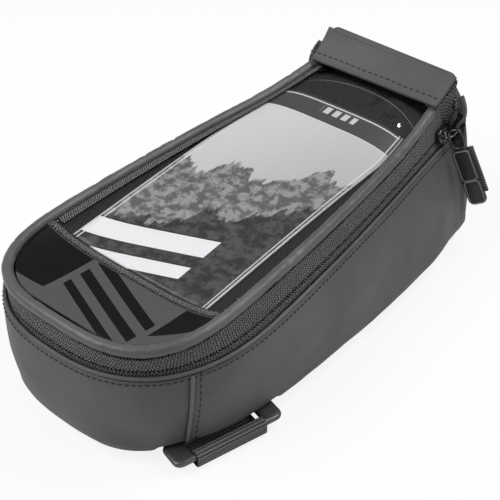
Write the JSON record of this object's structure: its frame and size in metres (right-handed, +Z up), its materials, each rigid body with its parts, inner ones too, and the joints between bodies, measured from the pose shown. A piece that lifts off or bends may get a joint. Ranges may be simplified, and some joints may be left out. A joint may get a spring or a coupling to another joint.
{
  "type": "top tube phone bag",
  "caption": "Zipped bicycle frame bag with a padded fabric body, a hinged lid with a clear phone pocket, a stem flap and strap fittings.",
  "frame": {"origin": "on the ground under the middle of the bag's bounding box", "axes": "+Z up, +Y towards the stem end with the flap, +X the side of the zip slider and the strap ring"},
  "size_m": [0.1178, 0.21, 0.0775],
  "materials": {
    "wall": "smooth matt coated fabric over foam",
    "base": "plain woven fabric",
    "board": "plain plastic board",
    "rim": "folded fabric binding",
    "tape": "ribbed woven zip tape",
    "coil": "nylon zip coil",
    "piping": "smooth coated piping with a soft sheen",
    "lid_fabric": "fine woven fabric with plain printed fields",
    "clear_film": "clear flexible film",
    "card": "printed insert in grey tones",
    "mesh": "dark ribbed fabric",
    "webbing": "ribbed webbing",
    "ring": "satin grey coated metal",
    "slider": "glossy dark metal",
    "rubber": "moulded rubber"
  },
  "bodies": {
    "bag": {"base_panel": "base", "base_stiffener": "board", "base_strap": "webbing", "end_panel": "wall", "lower_zip_coil": "coil", "lower_zip_tape": "tape", "nose_panel": "wall", "rim_binding": "rim", "ring_tab": "webbing", "seam_piping_left": "rim", "seam_piping_right": "rim", "side_panel_left": "wall", "side_panel_right": "wall", "stem_keeper": "webbing", "stem_strap": "webbing", "strap_ring": "ring", "zip_bottom_stop": "slider", "zip_top_stop": "slider"},
    "lid": {"lid_piping": "piping", "lid_front_panel": "lid_fabric", "clear_window": "clear_film", "display_card": "card", "pocket_backing": "mesh", "mouth_panel": "mesh", "pocket_binding": "rim", "stem_flap": "wall", "upper_zip_tape": "tape", "upper_zip_coil": "coil"},
    "slider": {"slider_body": "slider", "slider_bail": "slider"},
    "pull_link": {"pull_link": "slider"},
    "tab": {"pull_tab": "rubber", "pull_webbing": "webbing"}
  },
  "joints": [
    {"name": "lid_hinge", "type": "hinge", "parent": "bag", "child": "lid", "pos_m": [-0.00213, 0.09946, 0.077], "axis": [-1, 0, 0], "range_deg": [0, 100]},
    {"name": "slider_slide", "type": "slide", "parent": "lid", "child": "slider", "axis": [0.1346, -0.9906, -0.025], "range_m": [0, 0.06]},
    {"name": "pull_swing", "type": "hinge", "parent": "slider", "child": "pull_link", "pos_m": [0.04051, 0.09058, 0.05443], "axis": [0.1346, -0.9906, -0.025], "range_deg": [0, 90]},
    {"name": "tab_swing", "type": "hinge", "parent": "pull_link", "child": "tab", "pos_m": [0.04364, 0.091, 0.04824], "axis": [0.8409, 0.3067, 0.4459], "range_deg": [-60, 8]}
  ]
}
